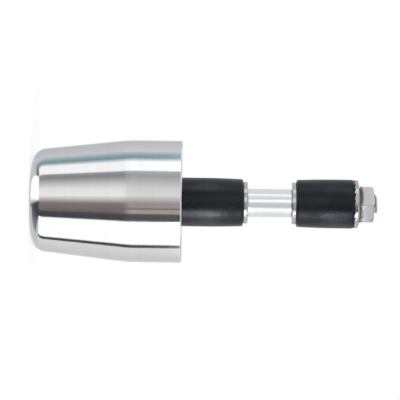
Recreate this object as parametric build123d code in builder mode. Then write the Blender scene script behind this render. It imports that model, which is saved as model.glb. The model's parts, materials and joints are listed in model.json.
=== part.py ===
"""Bar end weight with an expanding plug, in millimetres.

A turned steel weight closes the end of a handlebar. A long bolt runs through it and carries the plug: two
rubber sleeves, kept apart by a spacer tube between two washers, and a serrated flange nut. Turning the bolt
draws the nut towards the weight, and the sleeves swell inside the bar.

Z is the common axis. The origin is the middle of the weight's inner face, where the bar's end seats. The
plug points up, and the weight reaches down to its flat outer end.
"""

import os
from math import cos, pi, radians, tan

from build123d import *

# Weight
weight_diameter = 35.0
weight_length = 43.0
rim_length = 15.5  # the straight cylinder beside the bar
outer_end_diameter = 28.8  # the cone, carried on to the outer end
nose_radius = 4.0
rim_edge = 0.5  # chamfer beside the bar
hole_edge = 0.4  # chamfer at the mouth of the counterbore

# Bolt: hexagon socket head cap screw
thread_diameter = 6.0
head_diameter = 10.0
head_height = 6.0
head_edge = 0.6
head_recess = 3.0  # from the weight's outer end to the top of the head
socket_across_flats = 5.0
socket_depth = 3.0
socket_floor_angle = 30.0  # slope of the drilled floor under the socket
tip_chamfer = 0.6
tip_overhang = 1.0  # from the nut's outer end to the tip

# Rubber sleeves
sleeve_diameter = 14.0
outer_sleeve_length = 17.4
inner_sleeve_length = 16.4
ease_length = 7.0  # the stretch beside a washer that narrows
ease_depth = 0.25  # by how much its radius narrows
sleeve_edge = 0.5

# Washers
washer_diameter = 12.0
washer_thickness = 1.3
washer_edge = 0.3

# Spacer tube
spacer_diameter = 8.0
spacer_length = 12.6

# Flange nut
nut_across_flats = 10.0
nut_height = 5.7
nut_turn = 33.3  # direction of one corner of the hexagon from +X
flange_diameter = 13.8
flange_rim = 1.1  # the straight edge of the flange
flange_height = 2.0  # where the flange's cone meets the flats
flange_edge = 0.2
corner_chamfer_angle = 30.0
corner_chamfer_diameter = 9.6  # flat ring left at the outer end
nut_hole_chamfer = 0.4

# Serrations under the flange
serration_count = 24
serration_depth = 0.35
serration_inner_diameter = 9.0
serration_land = 0.25  # share of the pitch that stays flat
serration_crest = 0.2  # where the gap is deepest, as a share of its width

# Radial clearances around the bolt
weight_clearance = 0.25
head_clearance = 0.5
sleeve_clearance = 0.3
washer_clearance = 0.2
spacer_clearance = 0.25
thread_clearance = 0.05

hexagon_sides = 6

# Radii and heights that follow
bolt_radius = thread_diameter / 2
head_radius = head_diameter / 2
weight_radius = weight_diameter / 2
sleeve_radius = sleeve_diameter / 2
flange_radius = flange_diameter / 2
nut_corner_radius = nut_across_flats / 2 / cos(pi / hexagon_sides)

outer_end_z = -weight_length
head_top_z = outer_end_z + head_recess
head_seat_z = head_top_z + head_height
outer_washer_z = outer_sleeve_length
spacer_z = outer_washer_z + washer_thickness
inner_washer_z = spacer_z + spacer_length
inner_sleeve_z = inner_washer_z + washer_thickness
nut_z = inner_sleeve_z + inner_sleeve_length
nut_top_z = nut_z + nut_height
bolt_tip_z = nut_top_z + tip_overhang


def corner(section, radius, height):
    """The section's corner nearest to this radius and height."""
    return section.vertices().sort_by_distance((radius, height))[0]


# The weight is turned from bar in one piece, with a counterbore for the bolt's head in its outer end.
with BuildPart() as end_weight:
    bolt_hole = bolt_radius + weight_clearance
    counterbore = head_radius + head_clearance
    with BuildSketch(Plane.XZ) as weight_section:
        with BuildLine():
            Polyline(
                (bolt_hole, 0),
                (weight_radius, 0),
                (weight_radius, -rim_length),
                (outer_end_diameter / 2, outer_end_z),
                (counterbore, outer_end_z),
                (counterbore, head_seat_z),
                (bolt_hole, head_seat_z),
                close=True,
            )
        make_face()
        chamfer(corner(weight_section, weight_radius, 0), rim_edge)
        fillet(corner(weight_section, outer_end_diameter / 2, outer_end_z), nose_radius)
        chamfer(corner(weight_section, counterbore, outer_end_z), hole_edge)
    revolve(axis=Axis.Z)
end_weight.part.label = "end_weight"

# The bolt's head sits on the floor of the counterbore, with its socket towards the outer end.
with BuildPart() as clamp_bolt:
    with BuildSketch(Plane.XZ) as bolt_section:
        with BuildLine():
            Polyline(
                (0, head_top_z),
                (head_radius, head_top_z),
                (head_radius, head_seat_z),
                (bolt_radius, head_seat_z),
                (bolt_radius, bolt_tip_z),
                (0, bolt_tip_z),
                close=True,
            )
        make_face()
        chamfer(corner(bolt_section, head_radius, head_top_z), head_edge)
        chamfer(corner(bolt_section, bolt_radius, bolt_tip_z), tip_chamfer)
    revolve(axis=Axis.Z)
    with BuildSketch(Plane.XY.offset(head_top_z)):
        RegularPolygon(socket_across_flats / 2, hexagon_sides, major_radius=False)
    extrude(amount=socket_depth, mode=Mode.SUBTRACT)
    socket_floor_z = head_top_z + socket_depth
    drill_radius = socket_across_flats / 2
    with BuildSketch(Plane.XZ):
        with BuildLine():
            Polyline(
                (0, socket_floor_z),
                (drill_radius, socket_floor_z),
                (0, socket_floor_z + drill_radius * tan(radians(socket_floor_angle))),
                close=True,
            )
        make_face()
    revolve(axis=Axis.Z, mode=Mode.SUBTRACT)
clamp_bolt.part.label = "clamp_bolt"


def rubber_sleeve(label, seat_z, eased_z, seat_edge):
    """A moulded sleeve that narrows a little from its seat towards the washer at its other end."""
    bore = bolt_radius + sleeve_clearance
    eased_radius = sleeve_radius - ease_depth
    towards_washer = 1 if eased_z > seat_z else -1
    with BuildPart() as sleeve:
        with BuildSketch(Plane.XZ) as section:
            with BuildLine():
                ease_z = eased_z - towards_washer * ease_length
                wall = Line((sleeve_radius, seat_z), (sleeve_radius, ease_z))
                ease = TangentArc(wall @ 1, (eased_radius, eased_z), tangent=wall % 1)
                Polyline(ease @ 1, (bore, eased_z), (bore, seat_z), wall @ 0)
            make_face()
            chamfer(corner(section, eased_radius, eased_z), sleeve_edge)
            if seat_edge:
                chamfer(corner(section, sleeve_radius, seat_z), seat_edge)
        revolve(axis=Axis.Z)
    sleeve.part.label = label
    return sleeve


def washer(label, lower_z):
    """A flat washer with chamfered edges."""
    with BuildPart() as ring:
        with BuildSketch(Plane.XY.offset(lower_z)):
            Circle(washer_diameter / 2)
            Circle(bolt_radius + washer_clearance, mode=Mode.SUBTRACT)
        extrude(amount=washer_thickness)
        rims = ring.edges().filter_by(GeomType.CIRCLE).group_by(SortBy.RADIUS)[-1]
        chamfer(rims, washer_edge)
    ring.part.label = label
    return ring


# The outer sleeve is pressed flat on the weight, and the inner one stands under the nut.
outer_rubber_sleeve = rubber_sleeve("outer_rubber_sleeve", 0, outer_washer_z, 0)
inner_rubber_sleeve = rubber_sleeve("inner_rubber_sleeve", nut_z, inner_sleeve_z, sleeve_edge)

outer_washer = washer("outer_washer", outer_washer_z)
inner_washer = washer("inner_washer", inner_washer_z)

# The spacer is cut from thin tube.
with BuildPart() as spacer_tube:
    with BuildSketch(Plane.XY.offset(spacer_z)):
        Circle(spacer_diameter / 2)
        Circle(bolt_radius + spacer_clearance, mode=Mode.SUBTRACT)
    extrude(amount=spacer_length)
spacer_tube.part.label = "spacer_tube"

# One gap between two serrations: a steep side and a ramp, wider towards the flange's edge.
with BuildPart() as serration_gap:
    gap_angle = 2 * pi / serration_count * (1 - serration_land)
    for gap_radius in (serration_inner_diameter / 2, flange_radius + serration_depth):
        gap_width = gap_angle * gap_radius
        with BuildSketch(Plane(origin=(gap_radius, 0, nut_z), x_dir=(0, 1, 0), z_dir=(1, 0, 0))):
            with BuildLine():
                Polyline(
                    (0, -serration_depth),
                    (gap_width, -serration_depth),
                    (gap_width, 0),
                    (gap_width * serration_crest, serration_depth),
                    (0, 0),
                    close=True,
                )
            make_face()
    loft()

# The nut's flange is turned, its hexagon stands on the flange's cone, and the serrations bite the sleeve.
with BuildPart() as flange_nut:
    with BuildSketch(Plane.XZ) as flange_section:
        with BuildLine():
            Polyline(
                (0, nut_z),
                (flange_radius, nut_z),
                (flange_radius, nut_z + flange_rim),
                (nut_across_flats / 2, nut_z + flange_height),
                (0, nut_z + flange_height),
                close=True,
            )
        make_face()
        chamfer(corner(flange_section, flange_radius, nut_z + flange_rim), flange_edge)
    revolve(axis=Axis.Z)
    with BuildSketch(Plane.XY.offset(nut_z + flange_rim)):
        RegularPolygon(nut_across_flats / 2, hexagon_sides, major_radius=False, rotation=nut_turn)
    extrude(amount=nut_height - flange_rim)
    chamfer_start = corner_chamfer_diameter / 2
    chamfer_reach = 2 * (nut_corner_radius - chamfer_start)  # twice as far out as the corners
    with BuildSketch(Plane.XZ):
        with BuildLine():
            Polyline(
                (chamfer_start, nut_top_z),
                (chamfer_start + chamfer_reach, nut_top_z),
                (
                    chamfer_start + chamfer_reach,
                    nut_top_z - chamfer_reach * tan(radians(corner_chamfer_angle)),
                ),
                close=True,
            )
        make_face()
    revolve(axis=Axis.Z, mode=Mode.SUBTRACT)
    with PolarLocations(0, serration_count, start_angle=nut_turn):
        add(serration_gap.part, mode=Mode.SUBTRACT)
    nut_hole = bolt_radius + thread_clearance
    with BuildSketch(Plane.XZ):
        with BuildLine():
            Polyline(
                (0, nut_z),
                (nut_hole + nut_hole_chamfer, nut_z),
                (nut_hole, nut_z + nut_hole_chamfer),
                (nut_hole, nut_top_z - nut_hole_chamfer),
                (nut_hole + nut_hole_chamfer, nut_top_z),
                (0, nut_top_z),
                close=True,
            )
        make_face()
    revolve(axis=Axis.Z, mode=Mode.SUBTRACT)
flange_nut.part.label = "flange_nut"

os.makedirs("parts", exist_ok=True)
for piece in (
    end_weight,
    clamp_bolt,
    outer_rubber_sleeve,
    outer_washer,
    spacer_tube,
    inner_washer,
    inner_rubber_sleeve,
    flange_nut,
):
    export_step(piece.part, f"parts/{piece.part.label}.step")
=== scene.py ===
"""Bar end weight with an expanding plug: its dressed pieces, their finishes and a small white studio.

Laid out as an add-on and run as a script. Lengths are in metres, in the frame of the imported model: Z is the
common axis, the weight reaches down from the origin to the floor, and the plug points up.
"""

import json
from math import ceil, cos, pi, radians, sin, tan

import bmesh
import bpy
from bpy.props import FloatProperty, FloatVectorProperty, IntProperty, PointerProperty
from mathutils import Matrix, Vector


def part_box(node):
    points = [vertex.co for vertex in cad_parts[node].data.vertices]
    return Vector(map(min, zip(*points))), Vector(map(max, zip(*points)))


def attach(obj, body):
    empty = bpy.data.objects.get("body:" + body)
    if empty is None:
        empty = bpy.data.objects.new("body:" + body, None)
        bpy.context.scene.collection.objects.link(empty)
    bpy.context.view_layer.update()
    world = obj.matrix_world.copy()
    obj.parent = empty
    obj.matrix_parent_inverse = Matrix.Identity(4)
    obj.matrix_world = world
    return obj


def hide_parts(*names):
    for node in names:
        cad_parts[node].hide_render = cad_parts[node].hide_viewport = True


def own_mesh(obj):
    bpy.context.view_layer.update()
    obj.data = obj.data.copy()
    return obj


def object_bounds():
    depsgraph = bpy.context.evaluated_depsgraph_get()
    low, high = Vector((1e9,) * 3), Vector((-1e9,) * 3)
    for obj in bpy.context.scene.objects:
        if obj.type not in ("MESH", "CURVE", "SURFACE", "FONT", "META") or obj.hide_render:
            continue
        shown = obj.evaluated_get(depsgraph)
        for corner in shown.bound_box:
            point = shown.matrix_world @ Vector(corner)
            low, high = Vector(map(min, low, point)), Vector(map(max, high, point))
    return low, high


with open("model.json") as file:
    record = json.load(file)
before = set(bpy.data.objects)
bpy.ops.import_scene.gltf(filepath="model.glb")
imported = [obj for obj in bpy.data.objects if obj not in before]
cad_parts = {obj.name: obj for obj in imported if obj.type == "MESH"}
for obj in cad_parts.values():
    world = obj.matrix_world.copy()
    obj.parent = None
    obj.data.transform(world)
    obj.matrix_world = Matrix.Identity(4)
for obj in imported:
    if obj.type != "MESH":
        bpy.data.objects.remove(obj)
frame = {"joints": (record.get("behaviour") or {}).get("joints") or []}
cad_box = [list(corner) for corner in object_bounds()]

bl_info = {
    "name": "Bar End Weight",
    "version": (1, 0, 0),
    "blender": (4, 5, 0),
    "location": "View3D > Sidebar > Bar End",
    "description": "Dresses the packed model of a bar end weight with an expanding plug",
    "category": "Add Mesh",
}

MM = 0.001
MERGE = 1e-6  # points closer than this become one
OVER = 0.1 * MM  # how far a cutter reaches past the faces that it cuts
SHARP_ANGLE = radians(32)  # edges that turn by more than this are shaded sharp
PICTURE = 400  # width of the picture in pixels

# Facets
TURN_STEPS = 192  # round a turned piece
ROUND_STEPS = 6  # across a rounded corner of an outline
CORNER_STEPS = 3  # across an upright corner of a hexagon
THREAD_STEPS = 48  # to one turn of a thread
STRIP = 0.8 * MM  # longest facet along an outline
FINE_STRIP = 0.4 * MM  # the same on small pieces
LONG_STRIP = 2 * MM  # the same on a plain shank
SMALL_ROUNDING = 1 * MM  # below this radius, narrow strips keep the faces beside a rounded corner straight
HOLD = 0.03 * MM  # width of those strips


# Properties


def width(node):
    """Width of a CAD node along X, in millimetres."""
    low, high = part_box(node)
    return round((high.x - low.x) / MM, 1)


def length(name, description, millimetres):
    """A length property with its default in millimetres."""
    return FloatProperty(
        name=name,
        description=description,
        default=millimetres * MM,
        min=0,
        precision=5,
        unit="LENGTH",
        subtype="DISTANCE",
    )


def angle(name, description, degrees):
    """An angle property with its default in degrees."""
    return FloatProperty(
        name=name, description=description, default=radians(degrees), unit="ROTATION", subtype="ANGLE"
    )


def colour(name, description, default):
    """A colour property."""
    return FloatVectorProperty(
        name=name, description=description, default=default, size=3, min=0, max=1, subtype="COLOR"
    )


def amount(name, description, default):
    """A plain positive number."""
    return FloatProperty(name=name, description=description, default=default, min=0)


class WeightSizes(bpy.types.PropertyGroup):
    """Sizes of the turned weight."""

    diameter: length("Diameter", "Across the rim beside the bar", width("end_weight"))
    rim_length: length("Rim length", "Straight part beside the bar", 15.5)
    rim_edge: length("Rim edge", "Rounding of the rim beside the bar", 0.45)
    shoulder_radius: length("Shoulder blend", "Soft blend between the rim and the cone", 35)
    outer_end: length("Outer end", "Diameter of the cone, carried on to the outer end", 28.8)
    nose_radius: length("Nose radius", "Rounding of the outer end", 4)
    bolt_hole: length("Bolt hole", "Diameter of the hole for the bolt", 6.5)
    counterbore: length("Counterbore", "Diameter of the recess for the bolt's head", 11)
    head_seat: length("Head seat", "From the outer end to the seat of the bolt's head", 9)
    hole_edge: length("Hole chamfer", "Chamfer at the mouth of the counterbore", 0.4)
    soft_edge: length("Soft edges", "Rounding of the edges round the hole", 0.12)


class BoltSizes(bpy.types.PropertyGroup):
    """Sizes of the socket head cap screw."""

    head_diameter: length("Head", "Diameter of the head", width("clamp_bolt"))
    head_height: length("Head height", "From the top of the head to its seat", 6)
    head_edge: length("Head chamfer", "Chamfer round the top of the head", 0.6)
    soft_edge: length("Soft edges", "Rounding of the head's chamfer and of the neck", 0.2)
    seat_edge: length("Seat edge", "Rounding of the head's rim at its seat", 0.1)
    thread_diameter: length("Thread", "Outer diameter of the thread", 6)
    pitch: length("Pitch", "Distance between two turns of the thread", 1)
    thread_length: length("Thread length", "From the tip to the end of the thread", 24)
    run_out: length("Run-out", "Chamfer where the shank meets the thread", 0.5)
    tip_chamfer: length("Tip chamfer", "Chamfer of the tip", 0.6)
    socket: length("Socket", "Across the flats of the hexagon socket", 5)
    socket_depth: length("Socket depth", "From the top of the head to the socket's floor", 3)
    socket_mouth: length("Socket mouth", "Depth of the chamfer at the socket's mouth", 0.4)
    socket_slope: angle("Socket slope", "Slope of the drilled floor under the socket", 30)


class SleeveSizes(bpy.types.PropertyGroup):
    """Sizes that both rubber sleeves share."""

    diameter: length("Diameter", "Across the sleeve", width("outer_rubber_sleeve"))
    bore: length("Bore", "Diameter of the hole for the bolt", 6.6)
    bore_edge: length("Bore edge", "Rounding of both ends of the hole", 0.2)
    ease_length: length("Ease length", "Stretch beside a washer that narrows", 7)
    ease_depth: length("Ease depth", "How much the radius narrows there", 0.25)
    ease_radius: length("Ease radius", "Soft blend where the narrowing starts", 190)
    edge: length("Edge", "Rounding of the free ends", 0.6)
    pressed_edge: length("Pressed edge", "Rounding of the end that is pressed on the weight", 0.1)


class RingSizes(bpy.types.PropertyGroup):
    """Sizes of the washers and the spacer tube."""

    washer: length("Washer", "Diameter of the washers", width("outer_washer"))
    washer_bore: length("Washer bore", "Diameter of the washers' holes", 6.4)
    washer_edge: length("Washer edge", "Rounding of the washers' rims", 0.3)
    tube: length("Tube", "Diameter of the spacer tube", width("spacer_tube"))
    tube_bore: length("Tube bore", "Inner diameter of the spacer tube", 6.5)
    tube_edge: length("Tube edge", "Rounding of the spacer's rims", 0.2)
    bore_edge: length("Bore edge", "Rounding of both ends of the holes", 0.1)


class NutSizes(bpy.types.PropertyGroup):
    """Sizes of the serrated flange nut."""

    across_flats: length("Across flats", "Width of the hexagon", 10)
    turn: angle("Turn", "Direction of one corner of the hexagon from +X", 33.3)
    corner_edge: length("Corner edge", "Rounding of the hexagon's upright corners", 0.14)
    top_ring: length("Top ring", "Diameter of the flat ring at the outer end", 9.6)
    top_slope: angle("Top slope", "Slope of the chamfer at the outer end", 30)
    hole: length("Hole", "Diameter of the hole", 6.1)
    hole_chamfer: length("Hole chamfer", "Countersink at both ends of the hole", 0.4)
    flange: length("Flange", "Diameter of the flange", width("flange_nut"))
    flange_rim: length("Flange rim", "Straight edge of the flange", 1.1)
    flange_height: length("Flange height", "Where the flange's cone meets the flats", 2)
    flange_edge: length("Flange edge", "Rounding of the flange's rim", 0.25)
    foot_edge: length("Foot edge", "Rounding of the flange's cone at the flats", 0.3)
    serrations: IntProperty(name="Serrations", description="Teeth under the flange", default=24, min=6)
    serration_depth: length("Serration depth", "Depth of the gaps between teeth", 0.35)
    serration_start: length("Serration start", "Diameter inside which the face is plain", 9)
    serration_gap: amount("Serration gap", "Share of the pitch that a gap takes", 0.75)
    serration_crest: amount("Serration crest", "Where a gap is deepest, as a share of its width", 0.2)


class FinishColours(bpy.types.PropertyGroup):
    """Colours of the finishes."""

    steel: colour("Polished steel", "Turned and polished steel", (0.80, 0.80, 0.805))
    steel_line: colour("Turning line", "Fine lines left by the turning", (0.70, 0.70, 0.71))
    zinc: colour("Zinc", "Bright zinc plating", (0.51, 0.525, 0.55))
    zinc_warm: colour("Warm zinc", "Yellowish clouds in the plating", (0.51, 0.495, 0.465))
    # Painted shade: this dark brown stands for the shade in the corner round the foot of the nut's hexagon,
    # together with a brown film there.
    corner_shade_and_stain: colour("Stain", "Brown film in the corners of the plating", (0.12, 0.09, 0.07))
    rubber: colour("Rubber", "Black moulded rubber", (0.004, 0.0048, 0.0064))
    rubber_bloom: colour("Rubber bloom", "Paler film on the rubber", (0.0085, 0.0098, 0.0125))
    tube: colour("Tube", "Bright drawn tube", (0.86, 0.87, 0.90))
    tube_line: colour("Tube line", "Drawing lines along the tube", (0.77, 0.78, 0.81))


class StudioSettings(bpy.types.PropertyGroup):
    """Camera and light of the studio."""

    distance: length("Camera distance", "From the camera to the common axis", 550)
    scale: amount("Picture scale", "Pixels of the picture to a metre at the axis", 3490)
    roll: angle("Camera roll", "How far the axis falls towards the nut in the picture", 0.8)
    aim_height: length("Aim height", "Height on the axis in the middle of the picture", 5.08)
    aim_above: length("Aim above", "How far the picture's middle lies above the axis", 0.6)
    key: amount("Key light", "Radiance of the tall key light", 2.2)
    fill: amount("Fill light", "Radiance of the tall fill light", 1.2)
    overhead: amount("Overhead light", "Radiance of the wide light overhead", 1.7)
    ambient: amount("Ambient light", "World light on matt surfaces", 0.6)
    floor: colour("Floor", "Pale floor", (0.93, 0.93, 0.93))


class BarEndSettings(bpy.types.PropertyGroup):
    """All settings of the bar end weight."""

    weight: PointerProperty(type=WeightSizes)
    bolt: PointerProperty(type=BoltSizes)
    sleeves: PointerProperty(type=SleeveSizes)
    rings: PointerProperty(type=RingSizes)
    nut: PointerProperty(type=NutSizes)
    colours: PointerProperty(type=FinishColours)
    studio: PointerProperty(type=StudioSettings)


# Shaping


def heights(node):
    """Lowest and highest height of a CAD node."""
    low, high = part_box(node)
    return low.z, high.z


def spin(bm, sweep, steps, **more):
    """Spins all that a bmesh holds about Z."""
    bmesh.ops.spin(
        bm,
        geom=bm.verts[:] + bm.edges[:] + bm.faces[:],
        cent=(0, 0, 0),
        axis=(0, 0, 1),
        angle=sweep,
        steps=steps,
        **more,
    )


def extruded(bm):
    """Extrudes the faces of a bmesh by nothing and returns the points of the new end."""
    grown = bmesh.ops.extrude_face_region(bm, geom=bm.faces[:])["geom"]
    return [item for item in grown if isinstance(item, bmesh.types.BMVert)]


def round_corner(bm, point, rounding):
    """Rounds a corner of an outline to that radius."""
    before, after = (edge.other_vert(point).co - point.co for edge in point.link_edges)
    offset = rounding * tan((pi - before.angle(after)) / 2)
    if rounding < SMALL_ROUNDING:
        for edge in point.link_edges[:]:
            bmesh.utils.edge_split(edge, point, (offset + HOLD) / edge.calc_length())
    bmesh.ops.bevel(
        bm,
        geom=[point],
        offset=offset,
        offset_type="OFFSET",
        segments=ROUND_STEPS,
        profile=0.5,
        affect="VERTICES",
        material=-1,
    )


def turned(corners, closed=True, strip=STRIP):
    """Spins an outline about Z. A corner is (radius, height, rounding).

    An outline that isn't closed starts and ends on the axis.
    """
    bm = bmesh.new()
    points = [bm.verts.new((radius, 0, height)) for radius, height, _ in corners]
    for start, end in zip(points, points[1:] + points[:closed]):
        bm.edges.new((start, end))
    for point, (_, _, rounding) in zip(points, corners):
        if rounding:
            round_corner(bm, point, rounding)
    for edge in bm.edges[:]:
        cuts = ceil(edge.calc_length() / strip) - 1
        if cuts:
            bmesh.ops.subdivide_edges(bm, edges=[edge], cuts=cuts)
    spin(bm, 2 * pi, TURN_STEPS, use_merge=True)
    bmesh.ops.remove_doubles(bm, verts=bm.verts, dist=MERGE)
    bmesh.ops.recalc_face_normals(bm, faces=bm.faces)
    return bm


def hexagon(across_flats, turned_by, low, high, edge=0):
    """A hexagonal prism about Z with one corner at that angle from +X."""
    sides = 6
    first_corner = pi / 2  # a new circle starts on +Y
    bm = bmesh.new()
    corner_radius = across_flats / 2 / cos(pi / sides)
    bmesh.ops.create_circle(bm, cap_ends=True, radius=corner_radius, segments=sides)
    bmesh.ops.rotate(bm, verts=bm.verts, matrix=Matrix.Rotation(turned_by - first_corner, 3, "Z"))
    bmesh.ops.translate(bm, verts=bm.verts, vec=(0, 0, low))
    bmesh.ops.translate(bm, verts=extruded(bm), vec=(0, 0, high - low))
    if edge:
        uprights = [side for side in bm.edges if abs(side.verts[0].co.z - side.verts[1].co.z) > MERGE]
        bmesh.ops.bevel(
            bm,
            geom=uprights,
            offset=edge,
            offset_type="OFFSET",
            segments=CORNER_STEPS,
            profile=0.5,
            affect="EDGES",
            material=-1,
        )
    bmesh.ops.recalc_face_normals(bm, faces=bm.faces)
    return bm


def placed(bm, name):
    """Makes an object from a bmesh and frees the bmesh."""
    mesh = bpy.data.meshes.new(name)
    bm.to_mesh(mesh)
    bm.free()
    made = bpy.data.objects.new(name, mesh)
    bpy.context.collection.objects.link(made)
    return made


def combined(blank, tool, operation):
    """Joins, cuts or intersects two closed bmeshes and returns the result as a new one."""
    parts = [placed(bm, "blank") for bm in (blank, tool)]
    modifier = parts[0].modifiers.new("Shape", "BOOLEAN")
    modifier.operation = operation
    modifier.solver = "EXACT"
    modifier.object = parts[1]
    shaped = parts[0].evaluated_get(bpy.context.evaluated_depsgraph_get())
    result = bmesh.new()
    result.from_mesh(shaped.to_mesh())
    shaped.to_mesh_clear()
    for part in parts:
        mesh = part.data
        bpy.data.objects.remove(part)
        bpy.data.meshes.remove(mesh)
    if not result.faces:
        raise RuntimeError(f"{operation} left nothing")
    return result


def finished(bm, name, node, body, material):
    """Makes a piece from a bmesh: it stands for a CAD node and moves with its body."""
    bmesh.ops.remove_doubles(bm, verts=bm.verts, dist=MERGE)
    bmesh.ops.recalc_face_normals(bm, faces=bm.faces)
    piece = placed(bm, name)
    piece.data.shade_smooth()
    piece.data.set_sharp_from_angle(angle=SHARP_ANGLE)
    piece.data.materials.append(material)
    even_shading = piece.modifiers.new("Even shading", "WEIGHTED_NORMAL")
    even_shading.keep_sharp = True
    even_shading.weight = 100
    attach(piece, body)
    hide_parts(node)
    return piece


# Finishes


class Signal:
    """A socket on which Python arithmetic adds Math nodes."""

    def __init__(self, finish, socket):
        self.finish = finish
        self.socket = socket

    def of(self, output):
        """Another output of the same node."""
        return Signal(self.finish, self.socket.node.outputs[output])

    def math(self, operation, *values):
        """A Math node on these values."""
        return self.finish.node("ShaderNodeMath", {"operation": operation}, dict(enumerate(values)))

    def __add__(self, other):
        return self.math("ADD", self, other)

    def __radd__(self, other):
        return self.math("ADD", other, self)

    def __sub__(self, other):
        return self.math("SUBTRACT", self, other)

    def __rsub__(self, other):
        return self.math("SUBTRACT", other, self)

    def __mul__(self, other):
        return self.math("MULTIPLY", self, other)

    def __rmul__(self, other):
        return self.math("MULTIPLY", other, self)

    def __truediv__(self, other):
        return self.math("DIVIDE", self, other)


class Finish:
    """A node tree of a material or the world, and a maker for its nodes."""

    def __init__(self, block):
        self.block = block
        block.use_nodes = True
        self.tree = block.node_tree
        self.tree.nodes.clear()

    def node(self, kind, settings=None, sockets=None):
        """Adds a node, makes its settings, sets or links its sockets and returns its first output."""
        made = self.tree.nodes.new(kind)
        for name, value in (settings or {}).items():
            setattr(made, name, value)
        for socket, value in (sockets or {}).items():
            if isinstance(value, Signal):
                self.tree.links.new(value.socket, made.inputs[socket])
            else:
                made.inputs[socket].default_value = value
        return Signal(self, made.outputs[0]) if made.outputs else None

    def place(self):
        """Object coordinates."""
        return self.node("ShaderNodeTexCoord").of("Object")

    def stretched(self, place, scale):
        """Coordinates scaled along X, Y and Z."""
        return self.node("ShaderNodeVectorMath", {"operation": "MULTIPLY"}, {0: place, 1: scale})

    def height(self, place):
        """Height of a place."""
        return self.node("ShaderNodeSeparateXYZ", None, {0: place}).of("Z")

    def from_axis(self, place):
        """Distance of a place from the axis."""
        flat = self.stretched(place, (1, 1, 0))
        return self.node("ShaderNodeVectorMath", {"operation": "LENGTH"}, {0: flat}).of("Value")

    def noise(self, place, scale, detail):
        """Noise with features of one part in scale of a metre."""
        return self.node("ShaderNodeTexNoise", None, {"Vector": place, "Scale": scale, "Detail": detail})

    def lines(self, along, scale, detail):
        """Noise that changes along one value only."""
        return self.node(
            "ShaderNodeTexNoise", {"noise_dimensions": "1D"}, {"W": along, "Scale": scale, "Detail": detail}
        )

    def ease(self, value, low, high):
        """Zero below low, one above high and a smooth step between them."""
        return self.node(
            "ShaderNodeMapRange",
            {"interpolation_type": "SMOOTHSTEP"},
            {"Value": value, "From Min": low, "From Max": high},
        )

    def mix(self, share, first, second):
        """The second colour over the first by that share."""
        sockets = {0: share}
        for colour_socket, value in ((6, first), (7, second)):
            sockets[colour_socket] = value if isinstance(value, Signal) else (*value, 1)
        colour_output = 2
        return self.node("ShaderNodeMix", {"data_type": "RGBA"}, sockets).of(colour_output)

    def relief(self, height, strength, distance):
        """A bumped normal."""
        return self.node(
            "ShaderNodeBump", None, {"Height": height, "Strength": strength, "Distance": distance}
        )

    def surface(self, **values):
        """The main shader, with sockets named in lower case."""
        sockets = {}
        for name, value in values.items():
            sockets[name.replace("_", " ").title().replace("Ior", "IOR")] = value
        shader = self.node("ShaderNodeBsdfPrincipled", None, sockets)
        self.node("ShaderNodeOutputMaterial", None, {"Surface": shader})
        return self.block


def polished_steel(colours):
    """Turned and polished steel: lines run round the axis and stretch highlights along it."""
    finish = Finish(bpy.data.materials.new("polished_steel"))
    place = finish.place()
    along = finish.height(place) - finish.from_axis(place)
    fine = finish.lines(along, scale=3600, detail=2)
    broad = finish.lines(along, scale=300, detail=3)
    polish = finish.noise(place, scale=90, detail=3)
    return finish.surface(
        base_color=finish.mix(fine * 0.6 + broad * 0.5 - 0.1, colours.steel_line, colours.steel),
        metallic=1.0,
        roughness=0.08 + fine * 0.02 + broad * 0.02 + polish * 0.02,
        anisotropic=0.5,
        anisotropic_rotation=0.25,
        normal=finish.relief(fine, strength=0.05, distance=0.02 * MM),
    )


def nut_corner_shade_and_film(finish, place, patches, foot):
    """Share of the painted shade and brown film round the foot of a nut's hexagon, given the foot's radius
    and height.
    """
    radius, height = foot
    lean = 0.6  # how far the upper end of the painted shade and film falls for each step outwards
    level = finish.height(place)
    leaned = level + (finish.from_axis(place) - radius) * lean
    start = finish.ease(level, low=height - 0.5 * MM, high=height - 0.1 * MM)
    end = finish.ease(leaned, low=height + 0.45 * MM, high=height + 0.8 * MM)
    return start * (1 - end) * (0.75 + 0.25 * finish.ease(patches, low=0.45, high=0.85))


def zinc(name, colours, gloss, nut_foot=None):
    """Bright zinc plating with faint warm clouds, and painted shade with a brown film round the foot of a
    nut's hexagon.
    """
    finish = Finish(bpy.data.materials.new(name))
    place = finish.place()
    clouds = finish.noise(place, scale=260, detail=4)
    grain = finish.noise(place, scale=1800, detail=3)
    base = finish.mix(finish.ease(clouds, low=0.42, high=0.68), colours.zinc, colours.zinc_warm)
    rough = gloss * (1 + grain * 0.35 + clouds * 0.35)
    if nut_foot:
        # Painted shade: the corner round the foot of the hexagon is darkened in the colour, together with a
        # brown film there.
        film = nut_corner_shade_and_film(finish, place, clouds + grain * 0.5, nut_foot)
        base = finish.mix(film * 0.9, base, colours.corner_shade_and_stain)
        rough = rough + film * 0.2
    return finish.surface(
        base_color=base,
        metallic=1.0,
        roughness=rough,
        normal=finish.relief(grain + clouds * 0.6, strength=0.05, distance=0.05 * MM),
    )


def black_rubber(colours):
    """Moulded rubber with a satin skin and a faint bloom."""
    finish = Finish(bpy.data.materials.new("black_rubber"))
    place = finish.place()
    grain = finish.noise(place, scale=2600, detail=3)
    bloom = finish.noise(finish.stretched(place, (1, 1, 0.45)), scale=330, detail=5)
    skin = finish.noise(place, scale=900, detail=2)
    return finish.surface(
        base_color=finish.mix(finish.ease(bloom, low=0.35, high=0.75), colours.rubber, colours.rubber_bloom),
        roughness=0.13 + bloom * 0.06 + skin * 0.06 + grain * 0.04,
        anisotropic=0.85,
        specular_ior_level=0.3,
        specular_tint=(0.82, 0.92, 1, 1),
        normal=finish.relief(grain * 0.4 + skin, strength=0.25, distance=0.06 * MM),
    )


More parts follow.
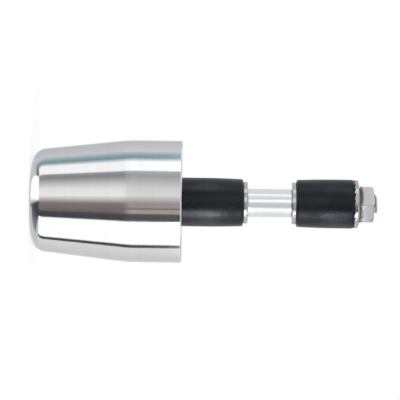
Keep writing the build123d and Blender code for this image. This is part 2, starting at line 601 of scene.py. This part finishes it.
def bright_tube(colours):
    """Bright tube with drawing lines along it."""
    finish = Finish(bpy.data.materials.new("bright_tube"))
    place = finish.place()
    drawn = finish.noise(finish.stretched(place, (1, 1, 0.02)), scale=2400, detail=3)
    clouds = finish.noise(place, scale=400, detail=3)
    return finish.surface(
        base_color=finish.mix(finish.ease(drawn, low=0.3, high=0.6), colours.tube_line, colours.tube),
        metallic=1.0,
        roughness=0.08 + drawn * 0.035 + clouds * 0.02,
        anisotropic=1.0,
        normal=finish.relief(drawn, strength=0.02, distance=0.02 * MM),
    )


# Pieces


def make_weight(settings):
    """Turns the weight, with its rounded rim, soft shoulder, round nose and counterbore."""
    sizes = settings.weight
    low, high = heights("end_weight")
    rim, hole, counterbore = sizes.diameter / 2, sizes.bolt_hole / 2, sizes.counterbore / 2
    soft = sizes.soft_edge
    seat = low + sizes.head_seat
    outline = (
        (hole, high, soft),
        (rim, high, sizes.rim_edge),
        (rim, high - sizes.rim_length, sizes.shoulder_radius),
        (sizes.outer_end / 2, low, sizes.nose_radius),
        (counterbore + sizes.hole_edge, low, soft),
        (counterbore, low + sizes.hole_edge, soft),
        (counterbore, seat, soft),
        (hole, seat, soft),
    )
    steel = polished_steel(settings.colours)
    finished(turned(outline), "weight_turned", "end_weight", "weight", steel)


def threaded_rod(sizes, low, high):
    """A closed rod with a cut thread between two heights."""
    ease = 0.02 * MM  # how far the crests stay inside the thread's diameter
    depth = 0.61 * sizes.pitch
    crest = sizes.thread_diameter / 2 - ease
    root = crest - depth
    spare = 2  # turns that start below the rod and are cut off
    turns = ceil((high - low) / sizes.pitch) + spare
    # Shares of the pitch, and the radius at each
    profile = ((0, crest), (1 / 8, crest), (7 / 16, root), (11 / 16, root), (1, crest))
    bm = bmesh.new()
    points = [bm.verts.new((radius, 0, low + (share - spare) * sizes.pitch)) for share, radius in profile]
    for start, end in zip(points, points[1:]):
        bm.edges.new((start, end))
    spin(bm, 2 * pi * turns, THREAD_STEPS * turns, dvec=(0, 0, sizes.pitch / THREAD_STEPS))
    bmesh.ops.remove_doubles(bm, verts=bm.verts, dist=MERGE)
    for height, side in ((low, "clear_inner"), (high, "clear_outer")):
        bmesh.ops.bisect_plane(
            bm,
            geom=bm.verts[:] + bm.edges[:] + bm.faces[:],
            dist=MERGE / 10,
            plane_co=(0, 0, height),
            plane_no=(0, 0, 1),
            **{side: True},
        )
    bmesh.ops.edgeloop_fill(bm, edges=[edge for edge in bm.edges if edge.is_boundary])
    bmesh.ops.recalc_face_normals(bm, faces=bm.faces)
    return bm


def make_bolt(settings):
    """Makes the bolt from a turned head and shank, a threaded rod and a hexagon socket."""
    sizes = settings.bolt
    top, tip = heights("clamp_bolt")
    head, shank = sizes.head_diameter / 2, sizes.thread_diameter / 2
    seat = top + sizes.head_height
    thread_end = tip - sizes.thread_length
    bolt = turned(
        (
            (0, top, 0),
            (head - sizes.head_edge, top, sizes.soft_edge),
            (head, top + sizes.head_edge, sizes.soft_edge),
            (head, seat, sizes.seat_edge),
            (shank, seat, sizes.soft_edge),
            (shank, thread_end - sizes.run_out, 0),
            (shank - sizes.run_out, thread_end, 0),
            (0, thread_end, 0),
        ),
        closed=False,
        strip=LONG_STRIP,
    )
    rod = threaded_rod(sizes, thread_end - sizes.pitch, tip)
    tip_cutter = turned(
        (
            (shank - sizes.tip_chamfer - OVER, tip + OVER, 0),
            (shank + OVER, tip + OVER, 0),
            (shank + OVER, tip - sizes.tip_chamfer - OVER, 0),
        )
    )
    bolt = combined(bolt, combined(rod, tip_cutter, "DIFFERENCE"), "UNION")
    socket_floor = top + sizes.socket_depth
    bolt = combined(bolt, hexagon(sizes.socket, 0, top - OVER, socket_floor), "DIFFERENCE")
    flat = sizes.socket / 2
    drill_radius = flat - 0.05 * MM  # just clear of the flats
    drill = turned(
        (
            (0, top - OVER, 0),
            (drill_radius + sizes.socket_mouth + OVER, top - OVER, 0),
            (drill_radius, top + sizes.socket_mouth, 0),
            (drill_radius, socket_floor, 0),
            (0, socket_floor + flat * tan(sizes.socket_slope), 0),
        ),
        closed=False,
    )
    bolt = combined(bolt, drill, "DIFFERENCE")
    plating = zinc("plated_bolt", settings.colours, gloss=0.17)
    finished(bolt, "bolt_socket_head", "clamp_bolt", "bolt", plating)


def make_sleeves(settings):
    """Turns the two rubber sleeves, which the bolt squeezes short when it is tightened; the squeeze is worked
    out here but the sleeves keep their shape.
    """
    sizes = settings.sleeves
    rubber = black_rubber(settings.colours)
    travel = {joint["name"]: max(joint["range_m"]) for joint in frame["joints"] if joint["type"] == "slide"}
    outer_squeeze = travel["spacer_draw"]
    inner_squeeze = travel["nut_draw"] - outer_squeeze
    pressed, free = sizes.pressed_edge, sizes.edge
    radius, bore = sizes.diameter / 2, sizes.bore / 2
    for name, node, body, joint, squeeze, seat_at_top, seat_edge in (
        ("sleeve_outer", "outer_rubber_sleeve", "weight", "spacer_draw", outer_squeeze, False, pressed),
        ("sleeve_inner", "inner_rubber_sleeve", "spacer", "nut_draw", inner_squeeze, True, free),
    ):
        low, high = heights(node)
        seat, eased, way = (high, low, 1) if seat_at_top else (low, high, -1)
        outline = (
            (bore, seat, sizes.bore_edge),
            (radius, seat, seat_edge),
            (radius, eased + way * sizes.ease_length, sizes.ease_radius),
            (radius - sizes.ease_depth, eased, free),
            (bore, eased, sizes.bore_edge),
        )
        sleeve = finished(turned(outline), name, node, body, rubber)
        1 - squeeze / (high - low)
        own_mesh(sleeve)


def ring(node, diameter, bore, edge, bore_edge, strip):
    """Turns a plain ring between the heights of a CAD node."""
    low, high = heights(node)
    outline = (
        (bore / 2, low, bore_edge),
        (diameter / 2, low, edge),
        (diameter / 2, high, edge),
        (bore / 2, high, bore_edge),
    )
    return turned(outline, strip=strip)


def make_washers(settings):
    """Turns the two washers."""
    sizes = settings.rings
    plating = zinc("plated_washer", settings.colours, gloss=0.06)
    for name, node in (("washer_outer", "outer_washer"), ("washer_inner", "inner_washer")):
        washer = ring(node, sizes.washer, sizes.washer_bore, sizes.washer_edge, sizes.bore_edge, FINE_STRIP)
        finished(washer, name, node, "spacer", plating)


def make_spacer(settings):
    """Turns the spacer tube."""
    sizes = settings.rings
    tube = ring("spacer_tube", sizes.tube, sizes.tube_bore, sizes.tube_edge, sizes.bore_edge, STRIP)
    bright = bright_tube(settings.colours)
    finished(tube, "spacer_bright", "spacer_tube", "spacer", bright)


def serration_gaps(sizes, low):
    """Cutters for the gaps between the teeth under the flange, each with a steep side and a ramp."""
    inner, outer = sizes.serration_start / 2, sizes.flange / 2 + sizes.serration_depth
    pitch = 2 * pi / sizes.serrations
    gap = sizes.serration_gap * pitch * inner
    depth = sizes.serration_depth
    section = ((0, -depth), (gap, -depth), (gap, 0), (sizes.serration_crest * gap, depth), (0, 0))
    bm = bmesh.new()
    bm.faces.new([bm.verts.new((inner, across, low + up)) for across, up in section])
    far_end = extruded(bm)
    bmesh.ops.scale(bm, vec=(1, outer / inner, 1), verts=far_end)
    bmesh.ops.translate(bm, vec=(outer - inner, 0, 0), verts=far_end)
    bmesh.ops.rotate(bm, verts=bm.verts, matrix=Matrix.Rotation(sizes.turn, 3, "Z"))
    spin(bm, 2 * pi - pitch, sizes.serrations - 1, use_duplicate=True)
    bmesh.ops.recalc_face_normals(bm, faces=bm.faces)
    return bm


def make_nut(settings):
    """Makes the nut from a turned flange and a chamfered hexagon, with serrations under the flange."""
    sizes = settings.nut
    low, high = heights("flange_nut")
    flange, flat = sizes.flange / 2, sizes.across_flats / 2
    hole, top_ring = sizes.hole / 2, sizes.top_ring / 2
    foot = low + sizes.flange_height
    inset, rise = 0.6 * MM, 0.1 * MM  # the flange's top, hidden in the hexagon
    nut = turned(
        (
            (0, low, 0),
            (flange, low, 0),
            (flange, low + sizes.flange_rim, sizes.flange_edge),
            (flat, foot, sizes.foot_edge),
            (flat - inset, foot + rise, 0),
            (0, foot + rise, 0),
        ),
        closed=False,
        strip=FINE_STRIP,
    )
    reach = 1.4 * flat  # beyond the hexagon's corners
    blank_low = low + 0.5 * sizes.flange_rim  # inside the flange, as is the prism's lower end
    prism_low = low + 0.75 * sizes.flange_rim
    blank = turned(
        (
            (0, blank_low, 0),
            (reach, blank_low, 0),
            (reach, high - (reach - top_ring) * tan(sizes.top_slope), 0),
            (top_ring, high, 0),
            (0, high, 0),
        ),
        closed=False,
        strip=FINE_STRIP,
    )
    prism = hexagon(sizes.across_flats, sizes.turn, prism_low, high + OVER, sizes.corner_edge)
    nut = combined(nut, combined(prism, blank, "INTERSECT"), "UNION")
    nut = combined(nut, serration_gaps(sizes, low), "DIFFERENCE")
    chamfer = sizes.hole_chamfer + OVER
    drill = turned(
        (
            (0, low - OVER, 0),
            (hole + chamfer, low - OVER, 0),
            (hole, low - OVER + chamfer, 0),
            (hole, high + OVER - chamfer, 0),
            (hole + chamfer, high + OVER, 0),
            (0, high + OVER, 0),
        ),
        closed=False,
    )
    nut = combined(nut, drill, "DIFFERENCE")
    # nut_foot places the painted shade and brown film round the foot of the hexagon.
    plating = zinc("plated_nut", settings.colours, gloss=0.11, nut_foot=(flat, foot))
    finished(nut, "nut_serrated_flange", "flange_nut", "nut", plating)


# Stage

FLOOR_RADIUS = 6
FLOOR_STEPS = 64
FLOOR_GAP = 0.05 * MM  # between the floor and the weight
LAMP_RING = 0.28  # distance of the tall lights from the axis
LAMP_HEIGHT = 0.22
LAMP_SIZE = (0.2, 0.5)
LAMP_AIM = (0, 0, 0.1)
OVERHEAD_HEIGHT = 0.9
OVERHEAD_SIZE = (0.8, 0.8)

CARD_RING = 0.32  # radius of the reflection cards
CARD_FACET = 4  # degrees to a facet of a card
CARD_STEP = 1 * MM  # between one card and the next in front of it or below it
LOWEST = -0.23  # height of the lowest cards
RIM_SPLIT = -0.06  # the weight's rim shows the cards above this height and its cone those below
CARD_TOP = 0.14
HIGH_TOP = 0.9

# Heights on the cards that single pieces show
OUTER_SLEEVE = (0.005, 0.017)
TUBE = (0.023, 0.052)
INNER_SLEEVE = (0.057, 0.067)
HIGH_ABOVE = (CARD_TOP, HIGH_TOP)

TINTS = {
    "plain": (1, 1, 1),
    "cool": (0.96, 0.99, 1.06),
    "warm": (1.12, 0.97, 0.92),
    "ivory": (1.03, 1, 0.96),
    "sky": (0.91, 0.97, 1.12),
    "teal": (0.7, 1.12, 1.18),
}

# Reflection cards round the object: name, first and last bearing in degrees, tints at both, levels at both
# beside the weight's rim and levels at both below it. Bearings count from the camera, upwards in the
# picture.
CARDS = (
    ("card_back_below", (-180, -150), ("plain", "cool"), (1.0, 0.72), (1.0, 0.72)),
    ("card_cool_below", (-150, -130), ("cool", "plain"), (0.71, 0.75), (0.71, 0.75)),
    ("card_grey_below", (-130, -96), ("plain", "plain"), (0.75, 0.92), (0.75, 0.9)),
    ("card_black", (-96, -87.5), ("plain", "plain"), (0.06, 0.06), (0.05, 0.05)),
    ("card_white_below", (-87.5, -37.5), ("plain", "plain"), (1.35, 1.35), (1.35, 1.35)),
    ("card_dark", (-37.5, -23), ("sky", "plain"), (0.09, 0.11), (0.055, 0.095)),
    ("card_brown", (-23, -15), ("warm", "warm"), (0.42, 0.42), (0.17, 0.2)),
    ("card_seam", (-15, -12), ("warm", "warm"), (0.2, 0.2), (0.2, 0.21)),
    ("card_brown_above", (-12, -4), ("warm", "warm"), (0.4, 0.35), (0.21, 0.25)),
    ("card_slope", (-4, 9), ("warm", "plain"), (0.36, 0.8), (0.3, 0.98)),
    ("card_pale", (9, 24), ("plain", "plain"), (0.9, 0.8), (1.08, 0.98)),
    ("card_fade", (24, 48), ("plain", "plain"), (0.8, 0.42), (0.98, 0.29)),
    ("card_step", (48, 57.5), ("plain", "cool"), (0.45, 0.55), (0.3, 0.38)),
    ("card_white_above", (57.5, 79), ("plain", "plain"), (1.3, 1.3), (1.2, 1.2)),
    ("card_teal_edge", (79, 87), ("plain", "teal"), (1.05, 0.4), (1.0, 0.37)),
    ("card_teal", (87, 93), ("teal", "teal"), (0.34, 0.42), (0.33, 0.4)),
    ("card_teal_fade", (93, 106), ("teal", "cool"), (0.38, 0.76), (0.38, 0.7)),
    ("card_grey_above", (106, 150), ("plain", "cool"), (0.78, 0.6), (0.73, 0.6)),
    ("card_back_above", (150, 180), ("cool", "plain"), (0.62, 1.0), (0.62, 1.0)),
)

# Strips in front of the cards for single pieces, and plain cards high above them: name, bearings, lower and
# upper end, tint, and levels at both bearings.
STRIPS = (
    ("strip_near_side", (-125, -75), OUTER_SLEEVE, "plain", (1.5, 3.8)),
    ("strip_near_key", (-75, -38), OUTER_SLEEVE, "plain", (10, 10)),
    ("strip_line_rim", (-66, -50), (-0.001, 0.005), "plain", (9, 9)),
    ("strip_line_near", (-66, -50), (0.017, 0.0225), "plain", (22, 22)),
    ("strip_line_tube", (-66, -50), (0.029, 0.044), "plain", (22, 22)),
    ("strip_line_far", (-66, -50), (0.0515, 0.057), "plain", (20, 20)),
    ("strip_line_end", (-56, -44), (0.067, 0.0735), "plain", (7, 7)),
    ("strip_near_fill", (57.5, 105), OUTER_SLEEVE, "sky", (4, 1.2)),
    ("strip_tube_grey", (-150, -85), TUBE, "plain", (0.8, 0.86)),
    ("strip_tube_below", (-85, -38), TUBE, "plain", (1.1, 1.1)),
    ("strip_tube_dark", (-38, 6), TUBE, "plain", (0.58, 0.7)),
    ("strip_tube_pale", (6, 28), TUBE, "plain", (1.2, 1.2)),
    ("strip_tube_above", (28, 57.5), TUBE, "plain", (0.76, 0.76)),
    ("strip_tube_white", (57.5, 79), TUBE, "plain", (1.08, 1.08)),
    ("strip_tube_back", (79, 150), TUBE, "plain", (0.78, 0.82)),
    ("strip_far_side", (-125, -87), INNER_SLEEVE, "plain", (1.5, 2.4)),
    ("strip_far_key", (-87, -41), INNER_SLEEVE, "plain", (4.6, 4.6)),
    ("strip_far_fill", (57.5, 105), INNER_SLEEVE, "sky", (2.6, 1.2)),
    ("strip_nut_above", (36, 72), (0.072, 0.12), "ivory", (1.12, 1.12)),
    ("strip_nut_below", (-95, -40), (0.0735, CARD_TOP), "sky", (0.3, 0.3)),
    ("card_high_below", (-110, 0), HIGH_ABOVE, "plain", (0.95, 0.95)),
    ("card_high_above", (0, 110), HIGH_ABOVE, "plain", (0.7, 0.7)),
    ("card_high_back_below", (-180, -110), HIGH_ABOVE, "plain", (0.5, 0.5)),
    ("card_high_back_above", (110, 180), HIGH_ABOVE, "plain", (1.1, 1.1)),
)

# Flat cards far below, which the rounded end shows: name, corners, and two places with the tones there.
LOW_WHITE = (1.4, 1.4, 1.4)
LOW_DARK = (0.06, 0.075, 0.1)
LOW_GREY = (0.68, 0.69, 0.71)
LOW_CARDS = (
    (
        "card_low_turn",
        ((-0.01, -0.36), (0.02, -0.36), (0.02, 0.1), (-0.01, 0.1)),
        ((-0.01, 0), LOW_WHITE),
        ((0.02, 0), LOW_DARK),
    ),
    (
        "card_low_white",
        ((0, -0.36), (0, 0.1), (-0.05, 0.1), (-0.34, -0.283), (-0.34, -0.36)),
        ((0, 0), LOW_WHITE),
        ((-0.1, 0), LOW_WHITE),
    ),
    (
        "card_low_blue",
        ((-0.155, -0.04), (-0.19, 0.09), (-0.34, 0.09), (-0.34, -0.283)),
        ((-0.25, -0.12), (0.15, 0.165, 0.2)),
        ((-0.28, 0.05), (0.42, 0.46, 0.5)),
    ),
    (
        "card_low_dark",
        ((0, -0.36), (0.2, -0.36), (0.2, 0.04), (0, 0.04)),
        ((0, -0.03), LOW_DARK),
        ((0.0725, 0.0425), (0.26, 0.28, 0.31)),
    ),
    (
        "card_low_grey",
        ((-0.4, -0.4), (0.4, -0.4), (0.4, 0.4), (-0.4, 0.4)),
        ((0, 0), LOW_GREY),
        ((0.1, 0), LOW_GREY),
    ),
)


def ray_share(finish):
    """One for camera, glossy and transmission rays, and zero for the rest."""
    path = finish.node("ShaderNodeLightPath")
    seen = path.of("Is Camera Ray") + path.of("Is Glossy Ray") + path.of("Is Transmission Ray")
    return finish.node("ShaderNodeClamp", None, {0: seen})


def add_camera(studio):
    """A level camera that looks along +Y, with +Z to the right of the picture."""
    data = bpy.data.cameras.new("camera")
    data.lens = data.sensor_width * studio.scale * studio.distance / PICTURE
    right, up = Vector((0, 0, 1)), Vector((-1, 0, 0))
    across = right * cos(studio.roll) + up * sin(studio.roll)
    upright = up * cos(studio.roll) - right * sin(studio.roll)
    facing = Matrix((across, upright, across.cross(upright))).transposed()
    place = Vector((-studio.aim_above, -studio.distance, studio.aim_height))
    camera = bpy.data.objects.new("camera", data)
    camera.matrix_world = Matrix.Translation(place) @ facing.to_4x4()
    bpy.context.collection.objects.link(camera)
    bpy.context.scene.camera = camera


def add_light(name, radiance, size, place, aim):
    """A plain area light of that radiance, from a place towards an aim."""
    data = bpy.data.lights.new(name, "AREA")
    data.shape = "RECTANGLE"
    data.size, data.size_y = size
    data.energy = pi * data.size * data.size_y * radiance
    light = bpy.data.objects.new(name, data)
    light.location = place
    light.rotation_euler = (Vector(aim) - Vector(place)).to_track_quat("-Z", "Y").to_euler()
    light.visible_glossy = False
    bpy.context.collection.objects.link(light)


def bearing_point(bearing, radius, height):
    """A point at a bearing in degrees from the camera, upwards in the picture."""
    return Vector((-radius * sin(radians(bearing)), -radius * cos(radians(bearing)), height))


def toned(tints, levels):
    """The tones that two tints give at their levels."""
    return [[level * part for part in TINTS[tint]] for tint, level in zip(tints, levels)]


def glowing(name, tone):
    """A plain glowing material that lights nothing. Its tone is a function of the new finish."""
    finish = Finish(bpy.data.materials.new(name))
    glow = finish.node("ShaderNodeEmission", None, {"Color": tone(finish)})
    finish.node("ShaderNodeOutputMaterial", None, {"Surface": glow})
    finish.block.cycles.emission_sampling = "NONE"
    return finish.block


def hung(bm, name, tone):
    """Hangs a card that shows in reflections only."""
    card = placed(bm, name)
    card.data.materials.append(glowing(name, tone))
    for ray in ("camera", "diffuse", "transmission", "shadow", "volume_scatter"):
        setattr(card, f"visible_{ray}", False)


def add_card(name, bearings, ends, tones, ring_radius=CARD_RING):
    """Spins an upright edge between two bearings. The tone slides from the first to the last."""
    first, last = bearings
    bm = bmesh.new()
    bm.edges.new([bm.verts.new(bearing_point(first, ring_radius, height)) for height in ends])
    spin(bm, -radians(last - first), ceil((last - first) / CARD_FACET))

    def tone(finish):
        place = finish.node("ShaderNodeSeparateXYZ", None, {0: finish.place()})
        bearing = place.math("ARCTAN2", 0 - place.of("X"), 0 - place.of("Y"))
        return finish.mix((bearing - radians(first)) / radians(last - first), *tones)

    hung(bm, name, tone)


def add_low_card(name, corners, height, start, end):
    """A flat card far below the object. Its tone slides from the start's to the end's."""
    bm = bmesh.new()
    bm.faces.new([bm.verts.new((*corner, height)) for corner in corners])
    (start_place, start_tone), (end_place, end_tone) = start, end
    way = Vector(end_place) - Vector(start_place)

    def tone(finish):
        reached = finish.node(
            "ShaderNodeVectorMath", {"operation": "DOT_PRODUCT"}, {0: finish.place(), 1: (way.x, way.y, 0)}
        )
        share = (reached.of("Value") - way.dot(Vector(start_place))) / way.length_squared
        return finish.mix(share, start_tone, end_tone)

    hung(bm, name, tone)


def add_floor(studio, height):
    """A wide pale floor with soft shadows near the object. Reflections show the cards in its place."""
    bm = bmesh.new()
    bmesh.ops.create_circle(bm, cap_ends=True, radius=FLOOR_RADIUS, segments=FLOOR_STEPS)
    bmesh.ops.translate(bm, verts=bm.verts, vec=(0, 0, height))
    floor = placed(bm, "floor")
    finish = Finish(bpy.data.materials.new("pale_floor"))
    away = finish.ease(finish.from_axis(finish.place()), low=0.03, high=0.2)
    near_glow = 0.82  # the rest of the floor near the object is matt and shows shadows
    share = ray_share(finish) * (near_glow + away * (1 - near_glow))
    matt = finish.node("ShaderNodeBsdfDiffuse", None, {"Color": (*studio.floor, 1)})
    glow = finish.node("ShaderNodeEmission", None, {"Color": (1, 1, 1, 1), "Strength": 1})
    both = finish.node("ShaderNodeMixShader", None, {0: share, 1: matt, 2: glow})
    finish.node("ShaderNodeOutputMaterial", None, {"Surface": both})
    floor.data.materials.append(finish.block)
    floor.visible_glossy = False


def add_world(studio):
    """A white world, dimmer on matt surfaces."""
    world = bpy.data.worlds.new("white_world")
    bpy.context.scene.world = world
    finish = Finish(world)
    strength = studio.ambient + ray_share(finish) * (1 - studio.ambient)
    sky = finish.node("ShaderNodeBackground", None, {"Color": (1, 1, 1, 1), "Strength": strength})
    finish.node("ShaderNodeOutputWorld", None, {"Surface": sky})


def make_stage(settings):
    """Sets up the camera, the floor, the lights, the world and the reflection cards."""
    studio = settings.studio
    add_camera(studio)
    add_floor(studio, cad_box[0][2] - FLOOR_GAP)
    add_world(studio)
    for name, radiance, bearing in (("key_light", studio.key, -58), ("fill_light", studio.fill, 72)):
        add_light(name, radiance, LAMP_SIZE, bearing_point(bearing, LAMP_RING, LAMP_HEIGHT), LAMP_AIM)
    add_light("overhead_light", studio.overhead, OVERHEAD_SIZE, (0, 0, OVERHEAD_HEIGHT), (0, 0, 0))
    for name, bearings, tints, beside, below in CARDS:
        add_card(f"{name}_beside", bearings, (RIM_SPLIT, CARD_TOP), toned(tints, beside))
        add_card(f"{name}_below", bearings, (LOWEST, RIM_SPLIT), toned(tints, below))
    for depth, (name, bearings, ends, tint, levels) in enumerate(STRIPS, start=1):
        add_card(name, bearings, ends, toned((tint, tint), levels), CARD_RING - depth * CARD_STEP)
    for depth, (name, corners, start, end) in enumerate(LOW_CARDS):
        add_low_card(name, corners, LOWEST - depth * CARD_STEP, start, end)
    bpy.context.scene.view_settings.view_transform = "Standard"


# Operators


class BarEndOperator:
    """What the operators share."""

    bl_options = {"REGISTER", "UNDO"}

    def execute(self, context):
        self.make(context.scene.bar_end)
        return {"FINISHED"}


class BAREND_OT_weight(BarEndOperator, bpy.types.Operator):
    """Turn the weight"""

    bl_idname = "bar_end.weight"
    bl_label = "Weight"

    def make(self, settings):
        make_weight(settings)


class BAREND_OT_bolt(BarEndOperator, bpy.types.Operator):
    """Make the clamp bolt"""

    bl_idname = "bar_end.bolt"
    bl_label = "Bolt"

    def make(self, settings):
        make_bolt(settings)


class BAREND_OT_sleeves(BarEndOperator, bpy.types.Operator):
    """Turn the two rubber sleeves"""

    bl_idname = "bar_end.sleeves"
    bl_label = "Rubber sleeves"

    def make(self, settings):
        make_sleeves(settings)


class BAREND_OT_washers(BarEndOperator, bpy.types.Operator):
    """Turn the two washers"""

    bl_idname = "bar_end.washers"
    bl_label = "Washers"

    def make(self, settings):
        make_washers(settings)


class BAREND_OT_spacer(BarEndOperator, bpy.types.Operator):
    """Turn the spacer tube"""

    bl_idname = "bar_end.spacer"
    bl_label = "Spacer tube"

    def make(self, settings):
        make_spacer(settings)


class BAREND_OT_nut(BarEndOperator, bpy.types.Operator):
    """Make the serrated flange nut"""

    bl_idname = "bar_end.nut"
    bl_label = "Flange nut"

    def make(self, settings):
        make_nut(settings)


class BAREND_OT_stage(BarEndOperator, bpy.types.Operator):
    """Set up the camera, the floor and the light"""

    bl_idname = "bar_end.stage"
    bl_label = "Stage"

    def make(self, settings):
        make_stage(settings)


OPERATORS = (
    BAREND_OT_weight,
    BAREND_OT_bolt,
    BAREND_OT_sleeves,
    BAREND_OT_washers,
    BAREND_OT_spacer,
    BAREND_OT_nut,
    BAREND_OT_stage,
)


class BAREND_PT_panel(bpy.types.Panel):
    """Buttons and settings of the bar end weight"""

    bl_idname = "BAREND_PT_panel"
    bl_label = "Bar End Weight"
    bl_space_type = "VIEW_3D"
    bl_region_type = "UI"
    bl_category = "Bar End"

    def draw(self, context):
        for operator in OPERATORS:
            self.layout.operator(operator.bl_idname)
        settings = context.scene.bar_end
        for group in ("weight", "bolt", "sleeves", "rings", "nut", "colours", "studio"):
            box = self.layout.box()
            box.label(text=group.title())
            for name in getattr(settings, group).__annotations__:
                box.prop(getattr(settings, group), name)


CLASSES = (
    WeightSizes,
    BoltSizes,
    SleeveSizes,
    RingSizes,
    NutSizes,
    FinishColours,
    StudioSettings,
    BarEndSettings,
    *OPERATORS,
    BAREND_PT_panel,
)


def register():
    for cls in CLASSES:
        bpy.utils.register_class(cls)
    bpy.types.Scene.bar_end = PointerProperty(type=BarEndSettings)


def unregister():
    del bpy.types.Scene.bar_end
    for cls in reversed(CLASSES):
        bpy.utils.unregister_class(cls)


def main():
    register()
    for operator in OPERATORS:
        group, name = operator.bl_idname.split(".")
        getattr(getattr(bpy.ops, group), name)()


if __name__ == "__main__":
    main()
